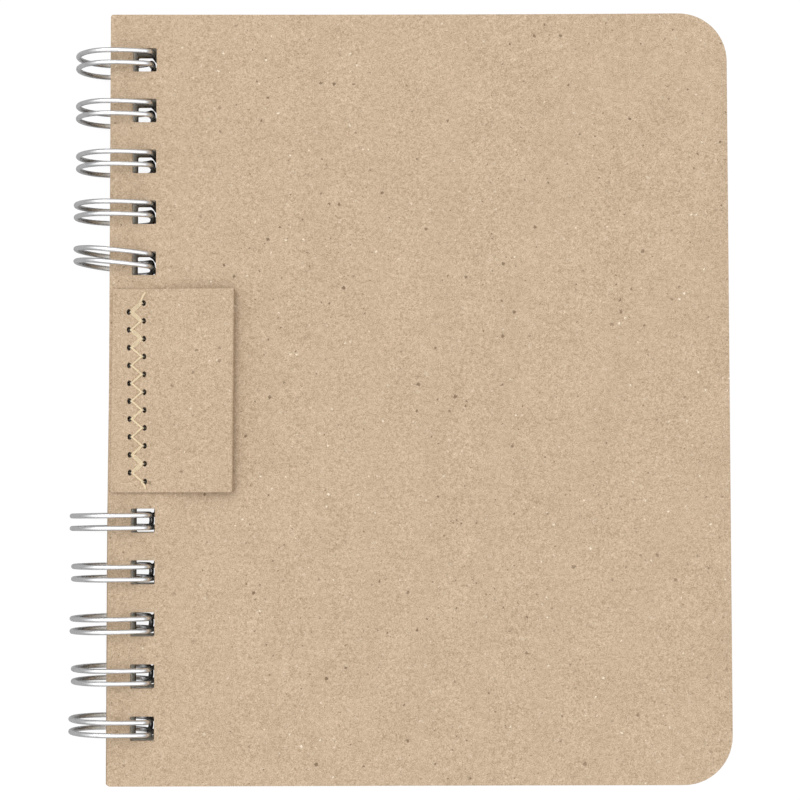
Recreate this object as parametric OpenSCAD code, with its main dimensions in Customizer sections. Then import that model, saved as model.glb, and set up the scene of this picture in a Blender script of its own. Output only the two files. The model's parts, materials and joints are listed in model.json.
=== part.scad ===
// Pocket sketchbook: kraft board covers and loose sheets on two twin-loop wires,
// with a folded board pen loop sewn to the front cover between the wires.
//
// The book is drawn flat first: X runs from the covers' spine edge to the fore
// edge, Y from the foot (-) to the head (+), Z up from the back cover's
// underside.  resting() then tips it about Y, because the wire loops are
// thicker than the stack: the loops and the back cover's fore edge touch Z = 0.

/* [Covers] */
// Width of a cover, spine edge to fore edge
cover_w = 102; // [80:1:160]
// Height of a cover, foot to head
cover_h = 127; // [124:1:180]
// Thickness of the cover board
board = 0.8; // [0.8:0.05:0.9]
// Radius of the two corners at the fore edge
corner_r = 8; // [2:0.5:14]

/* [Hole pattern] */
// Distance from one hole to the next, three loops to an inch
pitch = 8.467; // [8.4:0.001:8.5]
// Side of a square hole
hole = 3.9; // [3.9:0.05:4]
// Solid board between the spine edge and the holes
hole_margin = 3.7; // [3.65:0.01:3.72]
// How far the pattern's middle sits above the cover's middle
pattern_up = 0.9; // [0:0.1:1]
// Loops on each of the two wires
loops = 5; // [3:1:5]
// Hole positions left out between the wires, where the pen loop goes
skipped = 4; // [4:1:4]

/* [Wires] */
// Diameter of the wire
wire_d = 0.82; // [0.78:0.01:0.82]
// Distance between a loop's two strands
twin = 2.05; // [2:0.01:2.1]
// Radius of the loop's round side, to the middle of the wire
ring_r = 6.06; // [6.06:0.01:6.1]
// Radius of the flatter stretch over the top of the loop
crown_r = 14; // [12:0.5:15]
// Radius of the corner where the strand turns down into the hole
shoulder_r = 2.4; // [2.4:0.1:2.6]

/* [Sheets] */
// Number of drawing sheets (each is a node of its own)
sheets = 40; // [40:1:40]
// Room that each sheet takes in the stack
sheet_pitch = 0.133; // [0.13:0.001:0.133]
// How far the sheets stay inside the covers at head, foot and fore edge
sheet_inset = 1; // [0.5:0.1:2]
// How far the sheets stay inside the covers at the spine
spine_inset = 0.3; // [0.2:0.05:0.6]

/* [Pen loop] */
// Width of the folded strip, spine side to fold
loop_w = 20.1; // [18:0.1:24]
// Height of the strip along the spine
loop_h = 33.4; // [33:0.1:33.8]
// Thickness of the strip's board
strip = 0.42; // [0.35:0.01:0.45]
// Clear height of the tunnel that takes a slim pencil
tunnel = 0.9; // [0.5:0.05:0.95]

/* [Stitching] */
// Distance from one needle hole to the next in a column
stitch = 2.93; // [2.8:0.01:2.95]
// Distance from the spine edge to the first column of needle holes
stitch_x1 = 3.2; // [3:0.1:3.4]
// Distance from the spine edge to the second column of needle holes
stitch_x2 = 5.65; // [5.4:0.05:5.8]
// Number of needle holes in the second column; the first has one fewer
stitches = 11; // [6:1:11]
// Diameter of a needle hole
needle_d = 0.75; // [0.72:0.01:0.8]
// Diameter of the thread
thread_d = 0.3; // [0.28:0.01:0.3]

/* [Hidden] */
function sheet_name(i) = str("sheet_", i < 10 ? "0" : "", i);
SHEET_NODES = [for (i = [1 : 40]) sheet_name(i)];

fine = 48;                        // sides of a circle
air = 0.008;                      // gap between two sheets
base_gap = 0.95;                  // room for the wire's back between sheets and back cover
cover_gap = 0.13;                 // between the first sheet and the front cover
sheets_z = board + base_gap;
front_z = sheets_z + sheets * sheet_pitch + cover_gap;
stack = front_z + board;

// The loops' centre: the line that every cover and sheet turns about.
axis_x = -0.2;
axis_z = stack / 2;
ring_out = ring_r + wire_d / 2;

// The tip about Y that brings the loops and the fore edge down to Z = 0.
reach = cover_w - axis_x;
tip = asin(ring_out / norm([reach, axis_z])) - atan(axis_z / reach);
left_end = axis_x * cos(tip) + axis_z * sin(tip) - ring_out;
right_end = cover_w * cos(tip) + stack * sin(tip);
middle_x = (left_end + right_end) / 2;

// The hole positions, counted from the foot.
positions = 2 * loops + skipped;
function hole_y(i) = pattern_up + (i - (positions - 1) / 2) * pitch;
LOWER = [for (i = [0 : loops - 1]) hole_y(i)];
UPPER = [for (i = [loops + skipped : positions - 1]) hole_y(i)];

// The strand's outline round the loops' centre, from the back of the wire up
// the hole, over the shoulder and crown, and round to the tip, as four arcs.
crown_end = 70;                                   // where the crown meets the shoulder
crown_c = [0, ring_r - crown_r];
shoulder_c = crown_c + (crown_r - shoulder_r) * [cos(crown_end), sin(crown_end)];
rise_r = 40;                                      // slight bow of the strand inside the hole
rise_c = [shoulder_c.x + shoulder_r + rise_r, shoulder_c.y];
bend_r = 0.9;                                     // from a strand into the wire's back
back_z = board + base_gap / 2 - axis_z;           // height of the wire's back
rise_end = asin((shoulder_c.y - back_z) / norm([rise_r, bend_r])) - atan(bend_r / rise_r);
rise_foot = rise_c - rise_r * [cos(rise_end), sin(rise_end)];
back_x = rise_foot.x + bend_r * sin(rise_end);
tip_angle = -31;                                  // where the U tip begins
stub = 1.2;                                       // cut end of the wire past its last loop

// Stitch rows, from the head end of the pen loop down.
strip_x = 0.25;                                   // spine edge of the strip
strip_y = hole_y((positions - 1) / 2) + 0.12;     // middle of the strip
stitch_top = strip_y + loop_h / 2 - 2.5;          // first needle hole
function stitch_hole(i) =                         // even: second column, odd: first
    [i % 2 == 0 ? stitch_x2 : stitch_x1, stitch_top - i * stitch / 2];
STITCH = [for (i = [0 : 2 * stitches - 2]) stitch_hole(i)];
last_stitch = len(STITCH) - 1;
groove = thread_d + 0.06;                         // width and depth of the bobbin's groove
leg = 0.16;                                       // half the distance between a dip's legs
leg_bend = leg;                                   // bend from a leg into the straight run
thread_sides = 6;
wire_sides = 8;

// --- shared helpers ---------------------------------------------------------

module resting() {
    translate([-middle_x, 0, cover_w * sin(tip)]) rotate([0, tip, 0]) children();
}

// A rectangle from the spine at x0 to x1 with two rounded corners at x1.
module leaf_outline(x0, x1, h, r) {
    difference() {
        translate([x0, -h / 2]) square([x1 - x0, h]);
        for (s = [-1, 1])
            translate([x1 - r, s * (h / 2 - r)])
                difference() {
                    translate([0, s > 0 ? 0 : -r - 1]) square(r + 1);
                    circle(r = r, $fn = fine);
                }
    }
}

module punched() {
    difference() {
        children();
        for (y = concat(LOWER, UPPER))
            translate([hole_margin, y - hole / 2]) square(hole);
    }
}

// A sweep of a round section along points, as one closed polyhedron.
function unit(v) = v / norm(v);
function along(p, i) = unit(p[min(i + 1, len(p) - 1)] - p[max(i - 1, 0)]);
function sideways(t, n) = unit(n - (n * t) * t);
function frames(p, i, n) = i >= len(p) ? []
    : let (m = sideways(along(p, i), n)) concat([m], frames(p, i + 1, m));

module sweep(p, d, sides) {
    side = frames(p, 0, [0.31, 0.17, 0.93]);
    rings = [for (i = [0 : len(p) - 1]) let (t = along(p, i), u = side[i], v = cross(t, u))
        for (k = [0 : sides - 1]) let (a = 360 * k / sides)
            p[i] + d / 2 * (cos(a) * u + sin(a) * v)];
    walls = [for (i = [0 : len(p) - 2]) for (k = [0 : sides - 1])
        let (a = i * sides, b = a + sides, m = (k + 1) % sides)
            [a + k, b + k, b + m, a + m]];
    ends = [[for (k = [0 : sides - 1]) k],
            [for (k = [sides - 1 : -1 : 0]) (len(p) - 1) * sides + k]];
    polyhedron(points = rings, faces = concat(walls, ends), convexity = 8);
}

// --- covers and sheets ------------------------------------------------------

module cover_board() {
    linear_extrude(board) punched() leaf_outline(0, cover_w, cover_h, corner_r);
}

module back_cover() {
    color("tan") resting() cover_board();
}

// The front cover has the needle holes, and grooves where the bobbin thread sinks in.
module front_cover() {
    color("tan") resting() translate([0, 0, front_z]) difference() {
        cover_board();
        for (p = STITCH)
            translate([p.x, p.y, -1]) cylinder(d = needle_d, h = board + 2, $fn = fine);
        for (i = [0 : last_stitch - 1])
            stitch_groove(STITCH[i] + (leg + leg_bend) * heading(i),
                          STITCH[i + 1] - (leg + leg_bend) * heading(i + 1));
    }
}

// A groove under the cover for one straight run of the thread, a little past both ends.
module stitch_groove(a, b) {
    run = b - a;
    translate([a.x, a.y, -1]) rotate([0, 0, atan2(run.y, run.x)])
        translate([-groove / 2, -groove / 2, 0])
            cube([norm(run) + groove, groove, 1 + groove]);
}

module sheet(i) {
    color("ivory") resting()
        translate([0, 0, sheets_z + (sheets - i) * sheet_pitch + air / 2])
            linear_extrude(sheet_pitch - air) punched()
                leaf_outline(spine_inset, cover_w - sheet_inset,
                             cover_h - 2 * sheet_inset, corner_r - sheet_inset);
}

// --- wires ------------------------------------------------------------------

function arc(c, r, from, to, steps) =
    [for (k = [0 : steps]) let (a = from + (to - from) * k / steps)
        c + r * [cos(a), sin(a)]];

// A strand's points in XZ, from the wire's back round to the tip.
STRAND = concat(
    arc(rise_c, rise_r, 180 + rise_end, 180, 2),
    arc(shoulder_c, shoulder_r, 0, crown_end, 5),
    arc(crown_c, crown_r, crown_end, 90, 2),
    arc([0, 0], ring_r, 90, 360 + tip_angle, 15));
function distinct(p) =
    [for (i = [0 : len(p) - 1]) if (i == 0 || norm(p[i] - p[i - 1]) > 0.01) p[i]];
function backwards(p) = [for (i = [len(p) - 1 : -1 : 0]) p[i]];
function lay(p, y) = [for (q = p) [q.x, y, q.y]];

// A bend in the plane of the Y axis and the direction `way` in XZ.
function flat_bend(p, way, y, r, from, to, steps) =
    [for (k = [0 : steps]) let (a = from + (to - from) * k / steps, d = r * cos(a))
        [p.x + d * cos(way), y + r * sin(a), p.y + d * sin(way)]];

bent = twin / 2 + bend_r;
tip_foot = ring_r * [cos(tip_angle), sin(tip_angle)];
function twin_loop(y) = let (way = -90 + rise_end, s = distinct(STRAND)) concat(
    flat_bend(rise_foot, way, y - bent, bend_r, 0, 90, 4),
    lay(s, y - twin / 2),
    flat_bend(tip_foot, tip_angle + 90, y, twin / 2, -90, 90, 7),
    lay(backwards(s), y + twin / 2),
    flat_bend(rise_foot, way, y + bent, bend_r, -90, 0, 4));

function wire_path(at) = concat(
    [[back_x, at[0] - bent - stub, back_z]],
    [for (y = at) each twin_loop(y)],
    [[back_x, at[len(at) - 1] + bent + stub, back_z]]);

module wire(at) {
    color("silver") resting() translate([axis_x, 0, axis_z])
        sweep(distinct(wire_path(at)), wire_d, wire_sides);
}

module upper_wire() { wire(UPPER); }
module lower_wire() { wire(LOWER); }

// --- pen loop ---------------------------------------------------------------

// The strip's section: a flat lower layer, an upper layer that leaves it past the
// seam in a gentle S, and a round fold that joins them.
fold_r = strip + tunnel / 2;
fold_x = strip_x + loop_w - fold_r;
lift_x = 7.6;                                     // where the upper layer leaves the lower one
lift_run = 7;
lift_steps = 10;
function lift(t) = tunnel * (1 - cos(180 * t)) / 2;

module strip_section() {
    translate([strip_x, 0]) square([fold_x - strip_x, strip]);
    polygon(concat(
        [[strip_x, strip]],
        [for (k = [0 : lift_steps]) let (t = k / lift_steps)
            [lift_x + t * lift_run, strip + lift(t)]],
        [[fold_x, strip + tunnel], [fold_x, 2 * strip + tunnel]],
        [for (k = [lift_steps : -1 : 0]) let (t = k / lift_steps)
            [lift_x + t * lift_run, 2 * strip + lift(t)]],
        [[strip_x, 2 * strip]]));
    translate([fold_x, fold_r]) difference() {
        circle(r = fold_r, $fn = fine);
        circle(r = tunnel / 2, $fn = fine);
        translate([-2 * fold_r, -fold_r]) square(2 * fold_r);
    }
}

module pen_loop() {
    color("tan") resting() translate([0, 0, stack]) difference() {
        translate([0, strip_y + loop_h / 2, 0]) rotate([90, 0, 0])
            linear_extrude(loop_h) strip_section();
        for (p = STITCH)
            translate([p.x, p.y, -1]) cylinder(d = needle_d, h = 4, $fn = fine);
    }
}

// --- threads ----------------------------------------------------------------

// The direction in which a thread crosses needle hole i.
function heading(i) = unit(STITCH[min(i + 1, last_stitch)] - STITCH[max(i - 1, 0)]);

// One thread of the seam: straight runs at height `run_z`, and at each needle hole
// a dip of two legs down (or up) to `dip_z`, with rounded bends.
function dip(p, dir, run_z, dip_z) =
    let (s = sign(dip_z - run_z), d = [dir.x, dir.y, 0], up = [0, 0, s],
         run_c = [p.x, p.y, run_z], dip_c = [p.x, p.y, dip_z - s * leg])
    concat(
        [for (a = [0 : 45 : 90])
            run_c - (leg + leg_bend * (1 - sin(a))) * d + leg_bend * (1 - cos(a)) * up],
        [for (a = [0 : 45 : 180])
            dip_c - leg * cos(a) * d + leg * sin(a) * up],
        [for (a = [90 : -45 : 0])
            run_c + (leg + leg_bend * (1 - sin(a))) * d + leg_bend * (1 - cos(a)) * up]);

function seam(run_z, dip_z) =
    [for (i = [0 : last_stitch]) each dip(STITCH[i], heading(i), run_z, dip_z)];

thread_gap = 0.01;                                // between a thread and what it lies on
mid_z = stack + 0.12;                             // where the two threads meet in a hole

module needle_thread() {
    color("wheat") resting()
        sweep(seam(stack + 2 * strip + thread_d / 2 + thread_gap, mid_z + thread_d / 2 + thread_gap),
              thread_d, thread_sides);
}

module bobbin_thread() {
    color("wheat") resting()
        sweep(seam(front_z + thread_d / 2 + thread_gap, mid_z - thread_d / 2 - thread_gap),
              thread_d, thread_sides);
}

front_cover();
back_cover();
pen_loop();
needle_thread();
bobbin_thread();
upper_wire();
lower_wire();
for (i = [1 : sheets])
    sheet(i);
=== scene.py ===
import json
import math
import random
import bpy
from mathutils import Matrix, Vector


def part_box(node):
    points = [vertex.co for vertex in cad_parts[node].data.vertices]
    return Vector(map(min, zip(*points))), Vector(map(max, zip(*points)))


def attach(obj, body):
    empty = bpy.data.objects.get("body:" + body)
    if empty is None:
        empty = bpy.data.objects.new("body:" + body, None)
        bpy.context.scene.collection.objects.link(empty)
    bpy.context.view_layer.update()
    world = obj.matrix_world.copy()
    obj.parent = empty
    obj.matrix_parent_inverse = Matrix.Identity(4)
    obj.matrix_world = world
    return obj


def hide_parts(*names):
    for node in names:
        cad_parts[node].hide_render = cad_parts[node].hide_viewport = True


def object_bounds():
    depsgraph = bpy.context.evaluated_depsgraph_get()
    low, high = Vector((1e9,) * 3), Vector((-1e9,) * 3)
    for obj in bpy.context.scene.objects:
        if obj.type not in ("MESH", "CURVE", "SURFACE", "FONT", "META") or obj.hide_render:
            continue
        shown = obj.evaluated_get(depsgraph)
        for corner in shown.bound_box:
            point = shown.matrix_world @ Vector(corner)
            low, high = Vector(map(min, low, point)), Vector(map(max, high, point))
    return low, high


bl_info = {
    "name": "Wire-bound sketchbook",
    "version": (1, 0, 0),
    "blender": (4, 5, 0),
    "location": "3D View > Sidebar > Sketchbook",
    "description": "A pocket sketchbook: kraft boards, sheets, twin-loop wires and a sewn pen loop",
    "category": "Object",
}

import bmesh
import bpy
from bpy.props import FloatProperty, FloatVectorProperty, PointerProperty
from mathutils import Matrix, Vector

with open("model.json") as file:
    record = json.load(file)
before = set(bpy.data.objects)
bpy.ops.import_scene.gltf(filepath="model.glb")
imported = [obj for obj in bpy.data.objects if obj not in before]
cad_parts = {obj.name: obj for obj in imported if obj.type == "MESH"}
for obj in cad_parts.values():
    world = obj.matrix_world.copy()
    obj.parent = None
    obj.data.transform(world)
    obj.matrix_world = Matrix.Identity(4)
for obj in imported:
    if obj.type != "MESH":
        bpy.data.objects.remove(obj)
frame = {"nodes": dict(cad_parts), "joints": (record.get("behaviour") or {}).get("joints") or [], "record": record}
CAD_BOX = [list(corner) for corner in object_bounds()]

MM = 0.001
TAU = 2 * math.pi


# ---- Sizes and colours that a user would change ----


class SketchbookSizes(bpy.types.PropertyGroup):
    """Sizes of the made pieces, in millimetres, in the book's own flat frame"""

    corner_radius: FloatProperty(
        name="Corner radius", description="Round corners at the fore edge (mm)", default=8.0, min=1.0)
    board_edge: FloatProperty(
        name="Board edge", description="Softness of a die-cut board edge (mm)", default=0.07, min=0.0)
    hole_side: FloatProperty(
        name="Hole side", description="Side of a square wire hole (mm)", default=3.9, min=1.0)
    hole_margin: FloatProperty(
        name="Hole margin", description="Spine edge to the holes (mm)", default=3.7, min=1.0)
    pitch: FloatProperty(
        name="Pitch", description="One hole to the next (mm)", default=8.467, min=5.0)
    pattern_up: FloatProperty(
        name="Pattern offset", description="Hole pattern's middle above the cover's (mm)", default=0.9)
    wire_diameter: FloatProperty(
        name="Wire diameter", description="Diameter of the binding wire (mm)", default=0.82, min=0.2)
    twin_gap: FloatProperty(
        name="Twin gap", description="Middle to middle of a loop's two strands (mm)", default=2.05, min=1.0)
    ring_radius: FloatProperty(
        name="Ring radius", description="Round side of a loop, to the wire's middle (mm)",
        default=6.06, min=2.0)
    crown_radius: FloatProperty(
        name="Crown radius", description="Flatter stretch over the top of a loop (mm)",
        default=14.0, min=6.0)
    shoulder_radius: FloatProperty(
        name="Shoulder radius", description="Where a strand turns down into its hole (mm)",
        default=1.4, min=1.0)
    rise_x: FloatProperty(
        name="Rise", description="Ring's middle to the strands where they go down into the holes (mm)",
        default=6.367, min=4.0)
    strip_thickness: FloatProperty(
        name="Strip thickness", description="Board of the pen loop (mm)", default=0.42, min=0.1)
    strip_height: FloatProperty(
        name="Strip height", description="Pen loop along the spine (mm)", default=33.4, min=5.0)
    strip_width: FloatProperty(
        name="Strip width", description="Pen loop from the spine side to its fold (mm)",
        default=20.1, min=5.0)
    tunnel: FloatProperty(
        name="Tunnel", description="Clear height inside the pen loop (mm)", default=0.9, min=0.1)
    stitch: FloatProperty(
        name="Stitch", description="Needle hole to needle hole in one column (mm)", default=2.93, min=1.0)
    ply: FloatProperty(
        name="Thread ply", description="Diameter of one of the thread's plies (mm)", default=0.15, min=0.05)
    front_lift: FloatProperty(
        name="Front lift", description="How far the front cover's head corner stands up (mm)",
        default=1.2, min=0.0)


class SketchbookColours(bpy.types.PropertyGroup):
    """Colours of the finishes, linear"""

    kraft: FloatVectorProperty(
        name="Kraft", description="Body of the recycled board", subtype="COLOR", size=3,
        default=(0.510, 0.384, 0.263), min=0, max=1)
    kraft_dark: FloatVectorProperty(
        name="Dark fleck", description="Bark and ink flecks in the board", subtype="COLOR", size=3,
        default=(0.16, 0.10, 0.055), min=0, max=1)
    kraft_light: FloatVectorProperty(
        name="Light fleck", description="Bleached fibres in the board", subtype="COLOR", size=3,
        default=(0.93, 0.82, 0.66), min=0, max=1)
    paper: FloatVectorProperty(
        name="Paper", description="Drawing sheets", subtype="COLOR", size=3,
        default=(0.83, 0.80, 0.73), min=0, max=1)
    steel: FloatVectorProperty(
        name="Steel", description="Binding wire", subtype="COLOR", size=3,
        default=(0.80, 0.80, 0.81), min=0, max=1)
    thread: FloatVectorProperty(
        name="Thread", description="Seam thread", subtype="COLOR", size=3,
        default=(0.86, 0.71, 0.48), min=0, max=1)


class SketchbookView(bpy.types.PropertyGroup):
    """Where the camera stands, round the middle of the book"""

    azimuth: FloatProperty(
        name="Azimuth", description="Degrees round the book; 0 looks along +Y", default=17.2)
    elevation: FloatProperty(
        name="Elevation", description="Degrees above the floor", default=87.064)
    roll: FloatProperty(
        name="Roll", description="Degrees that the camera is turned on its axis", default=-0.113)
    distance: FloatProperty(
        name="Distance", description="Camera to the cover's face (mm)", default=328.0, min=50.0)
    lens: FloatProperty(
        name="Lens", description="Focal length on a 36 mm sensor (mm)", default=89.94, min=10.0)


# ---- The book's own frame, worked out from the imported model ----


def named(rows, name):
    return next(row for row in rows if row["name"] == name)


class Book:
    """The flat frame that the pieces are made in, in millimetres: X from the spine edge to the
    fore edge, Y from foot to head, Z up from the back cover's underside."""

    def __init__(self):
        down = Vector(named(frame["record"]["mounts"], "back_face")["axis"])
        self.tilt = math.atan2(-down.x, -down.z)
        c, s = math.cos(self.tilt), math.sin(self.tilt)
        low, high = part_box("back_cover")
        size = (high - low) / MM
        self.width = (size.x * c - size.z * s) / (c * c - s * s)
        self.board = (size.z * c - size.x * s) / (c * c - s * s)
        self.height = size.y
        self.origin = Vector((low.x, 0, low.z + self.width * s * MM))
        self.to_row = (Matrix.Translation(self.origin) @ Matrix.Rotation(self.tilt, 4, "Y")
                       @ Matrix.Scale(MM, 4))
        axis = self.to_row.inverted() @ Vector(named(frame["joints"], "cover_turn")["pos_m"])
        self.axis_x, self.axis_z = axis.x, axis.z
        self.stack = 2 * axis.z
        self.front_z = self.stack - self.board

    def sheet_levels(self):
        """Upper side of each sheet's node at the spine, from the first sheet down."""
        levels = []
        for name in sorted(n for n in frame["nodes"] if n.startswith("sheet_")):
            low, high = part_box(name)
            levels.append((name, (self.to_row.inverted() @ Vector((low.x, 0, high.z))).z))
        return levels


BOOK = Book()


def sizes():
    return bpy.context.scene.sketchbook_sizes


def colours():
    return bpy.context.scene.sketchbook_colours


PLACES = 14  # places in the hole pattern, the middle ones left out
LOOPS = 5  # loops, and so holes, of each wire


def hole_rows():
    """Y of the ten wire holes, lower five and upper five, in millimetres."""
    s = sizes()
    rows = [s.pattern_up + (i - (PLACES - 1) / 2) * s.pitch for i in range(PLACES)]
    return rows[:LOOPS], rows[-LOOPS:]


def wire_holes():
    """Outlines of the ten square holes."""
    s = sizes()
    lower, upper = hole_rows()
    return [square_hole(s.hole_margin + s.hole_side / 2, y, s.hole_side) for y in lower + upper]


def body_of(node):
    return next(b for b, nodes in frame["record"]["behaviour"]["bodies"].items() if node in nodes)


def finish_piece(name, mesh, finish, node, smooth_below=35):
    """Puts a mesh made in the flat frame into the row frame, on its body, in place of its node."""
    mesh.transform(BOOK.to_row)
    mesh.materials.append(finish)
    mesh.shade_smooth()
    mesh.set_sharp_from_angle(angle=math.radians(smooth_below))
    piece = bpy.data.objects.new(name, mesh)
    bpy.context.scene.collection.objects.link(piece)
    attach(piece, body_of(node))
    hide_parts(node)
    return piece


# ---- Mesh tools ----


def arc_points(cx, cy, r, start, end, steps):
    return [(cx + r * math.cos(math.radians(start + (end - start) * k / steps)),
             cy + r * math.sin(math.radians(start + (end - start) * k / steps))) for k in range(steps + 1)]


def leaf_outline(x0, x1, height, radius, steps=14, blunt=0.45):
    """Square corners at the spine, no sharper than wear leaves them, and round ones at the fore edge."""
    top = height / 2
    return (arc_points(x0 + blunt, -top + blunt, blunt, 180, 270, 4)
            + arc_points(x1 - radius, -top + radius, radius, -90, 0, steps)
            + arc_points(x1 - radius, top - radius, radius, 0, 90, steps)
            + arc_points(x0 + blunt, top - blunt, blunt, 90, 180, 4))


def square_hole(x, y, side, radius=0.22):
    """A punched square with slightly round corners."""
    points = []
    for turn, (sx, sy) in enumerate(((1, 1), (-1, 1), (-1, -1), (1, -1))):
        points += arc_points(x + sx * (side / 2 - radius), y + sy * (side / 2 - radius), radius,
                             90 * turn, 90 * turn + 90, 3)
    return points


def oval_hole(x, y, rx, ry, steps=14):
    return [(x + rx * math.cos(TAU * k / steps), y + ry * math.sin(TAU * k / steps)) for k in range(steps)]


def board_mesh(name, outline, holes, low, high, edge, cuts_x, cuts_y):
    """A flat board with holes: filled outline, thickness, soft edges, and extra cuts to bend along."""
    curve = bpy.data.curves.new(name + "_outline", "CURVE")
    curve.dimensions = "2D"
    curve.fill_mode = "BOTH"
    curve.extrude = (high - low) / 2 - edge
    curve.bevel_depth = edge
    curve.bevel_resolution = 1
    curve.offset = -edge
    for points in [outline, *holes]:
        spline = curve.splines.new("POLY")
        spline.points.add(len(points) - 1)
        for point, (x, y) in zip(spline.points, points):
            point.co = (x, y, 0, 1)
        spline.use_cyclic_u = True
    holder = bpy.data.objects.new(name + "_outline", curve)
    bpy.context.scene.collection.objects.link(holder)
    bpy.context.view_layer.update()
    mesh = bpy.data.meshes.new_from_object(holder.evaluated_get(bpy.context.evaluated_depsgraph_get()))
    bpy.data.objects.remove(holder)
    bpy.data.curves.remove(curve)
    mesh.name = name
    bm = bmesh.new()
    bm.from_mesh(mesh)
    bmesh.ops.remove_doubles(bm, verts=bm.verts, dist=0.002)
    for across, cuts in ((Vector((1, 0, 0)), cuts_x), (Vector((0, 1, 0)), cuts_y)):
        for cut in cuts:
            bmesh.ops.bisect_plane(bm, geom=bm.verts[:] + bm.edges[:] + bm.faces[:], dist=0.0005,
                                   plane_co=cut * across, plane_no=across)
    bmesh.ops.translate(bm, verts=bm.verts, vec=(0, 0, (low + high) / 2))
    bmesh.ops.recalc_face_normals(bm, faces=bm.faces)
    bm.to_mesh(mesh)
    bm.free()
    mesh.materials.clear()
    return mesh


def smooth_step(value, low, high):
    """0 at low, 1 at high, with no kink at either."""
    t = min(1.0, max(0.0, (value - low) / (high - low)))
    return t * t * (3 - 2 * t)


def steps_between(low, high, step):
    """Even places between low and high, about a step apart."""
    count = max(1, round((high - low) / step))
    return [low + (high - low) * k / count for k in range(1, count)]


def bend_mesh(mesh, move):
    for vertex in mesh.vertices:
        vertex.co = move(vertex.co)


def mark_pierced(mesh, inside):
    """Stores which points lie in a needle hole, where the board's finish paints shade into the colour."""
    marks = mesh.attributes.new("pierced", "FLOAT", "POINT")
    marks.data.foreach_set("value", [float(inside(v.co)) for v in mesh.vertices])


def tube_mesh(name, runs, sides=16):
    """Round tubes along lists of points; each point is (position, radius)."""
    vertices, faces = [], []
    for run in runs:
        base = len(vertices)
        side = None
        for i, (p, r) in enumerate(run):
            ahead = run[min(i + 1, len(run) - 1)][0] - run[max(i - 1, 0)][0]
            ahead.normalize()
            if side is None:
                side = ahead.orthogonal()
            side = (side - side.dot(ahead) * ahead).normalized()
            across = ahead.cross(side)
            vertices += [p + r * (math.cos(TAU * k / sides) * side + math.sin(TAU * k / sides) * across)
                         for k in range(sides)]
        for i in range(len(run) - 1):
            for k in range(sides):
                a, b = base + i * sides + k, base + i * sides + (k + 1) % sides
                faces.append((a, b, b + sides, a + sides))
        faces.append(tuple(base + k for k in reversed(range(sides))))
        last = base + (len(run) - 1) * sides
        faces.append(tuple(last + k for k in range(sides)))
    mesh = bpy.data.meshes.new(name)
    mesh.from_pydata(vertices, [], faces)
    mesh.update()
    return mesh


# ---- Shader tools ----


class Graph:
    """Short calls for placing and joining shader nodes."""

    def __init__(self, tree):
        self.tree = tree

    def node(self, kind, inputs=None, **settings):
        made = self.tree.nodes.new(kind)
        for key, value in settings.items():
            setattr(made, key, value)
        for key, value in (inputs or {}).items():
            self.feed(made.inputs[key], value)
        return made

    def feed(self, socket, value):
        if isinstance(value, bpy.types.NodeSocket):
            self.tree.links.new(value, socket)
        else:
            socket.default_value = value

    def math(self, operation, a, b=0.0):
        return self.node("ShaderNodeMath", {0: a, 1: b}, operation=operation).outputs[0]

    def vector(self, operation, a, b):
        return self.node("ShaderNodeVectorMath", {0: a, 1: b}, operation=operation).outputs[0]

    def scaled(self, a, factor):
        node = self.node("ShaderNodeVectorMath", {0: a}, operation="SCALE")
        self.feed(node.inputs["Scale"], factor)
        return node.outputs[0]

    def ramp(self, value, low, high, out_low=0.0, out_high=1.0):
        """Smooth step from out_low to out_high as value goes from low to high."""
        return self.node("ShaderNodeMapRange", {"Value": value, "From Min": low, "From Max": high,
                                                "To Min": out_low, "To Max": out_high},
                         interpolation_type="SMOOTHSTEP").outputs[0]

    def noise(self, at, scale, detail=2.0, rough=0.5, distortion=0.0):
        return self.node("ShaderNodeTexNoise", {"Vector": at, "Scale": scale, "Detail": detail,
                                                "Roughness": rough, "Distortion": distortion})

    def mix(self, share, a, b, blend="MIX"):
        node = self.node("ShaderNodeMix", data_type="RGBA", blend_type=blend)
        self.feed(node.inputs[0], share)
        self.feed(node.inputs[6], a)
        self.feed(node.inputs[7], b)
        return node.outputs[2]


def new_group(name, inputs, outputs):
    """A shader node group with named sockets, and its inner graph, input and output nodes."""
    tree = bpy.data.node_groups.new(name, "ShaderNodeTree")
    for label, kind, default in inputs:
        socket = tree.interface.new_socket(label, in_out="INPUT", socket_type=kind)
        if default is not None:
            socket.default_value = default
    for label, kind in outputs:
        tree.interface.new_socket(label, in_out="OUTPUT", socket_type=kind)
    graph = Graph(tree)
    return tree, graph, graph.node("NodeGroupInput"), graph.node("NodeGroupOutput")


def fleck_mask(g, at, scale, biggest, share):
    """Scattered specks: one for a share of the cells, each of its own size, up to a radius of
    `biggest` mm, and of its own strength."""
    cell = g.node("ShaderNodeTexVoronoi", {"Vector": at, "Scale": scale, "Randomness": 1.0})
    chance = g.node("ShaderNodeSeparateColor", {"Color": cell.outputs["Color"]})
    keep = g.math("LESS_THAN", chance.outputs[0], share)
    smallest = 0.12 * biggest
    size = g.math("MULTIPLY", g.math("POWER", chance.outputs[1], 2.0), biggest * scale)
    size = g.math("ADD", size, smallest * scale)
    inside = g.math("SUBTRACT", size, cell.outputs["Distance"])
    depth = g.math("MULTIPLY", keep, g.ramp(chance.outputs[2], 0.0, 0.8, 0.45, 1.0))
    return g.math("MULTIPLY", g.ramp(inside, 0.0, 0.06 * scale), depth)


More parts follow.
